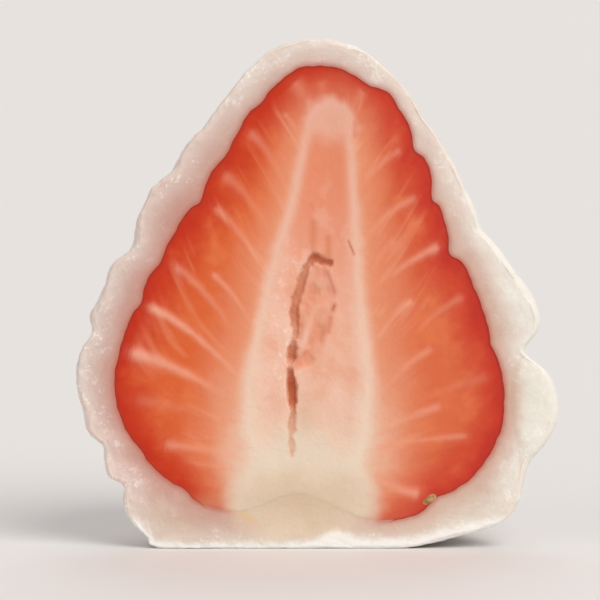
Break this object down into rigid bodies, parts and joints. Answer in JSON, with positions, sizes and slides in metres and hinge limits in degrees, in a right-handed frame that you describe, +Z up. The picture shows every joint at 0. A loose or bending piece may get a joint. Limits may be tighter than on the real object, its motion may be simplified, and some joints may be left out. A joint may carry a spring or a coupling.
{
  "type": "strawberry mochi rice cake half",
  "caption": "Half of a soft white mochi rice cake wrapped round a whole strawberry, cut top to bottom and stood on its base, with the flat cut face in front.",
  "frame": {"origin": "middle of the bounding box's underside, on the surface that the half stands on", "axes": "+Z up to the strawberry's tip, -Y out of the flat cut face towards the viewer, +X to the viewer's right, on the side of the deep fold"},
  "size_m": [0.0436, 0.0204, 0.046],
  "materials": {
    "mochi": "soft translucent white rice dough, satin on the cut and matt with rice starch on the skin",
    "strawberry": "moist cut strawberry flesh, red at the skin, orange-red inside and pale pink at the core"
  },
  "bodies": {
    "root": {"mochi_wrapper": "mochi", "strawberry": "strawberry"}
  },
  "joints": []
}
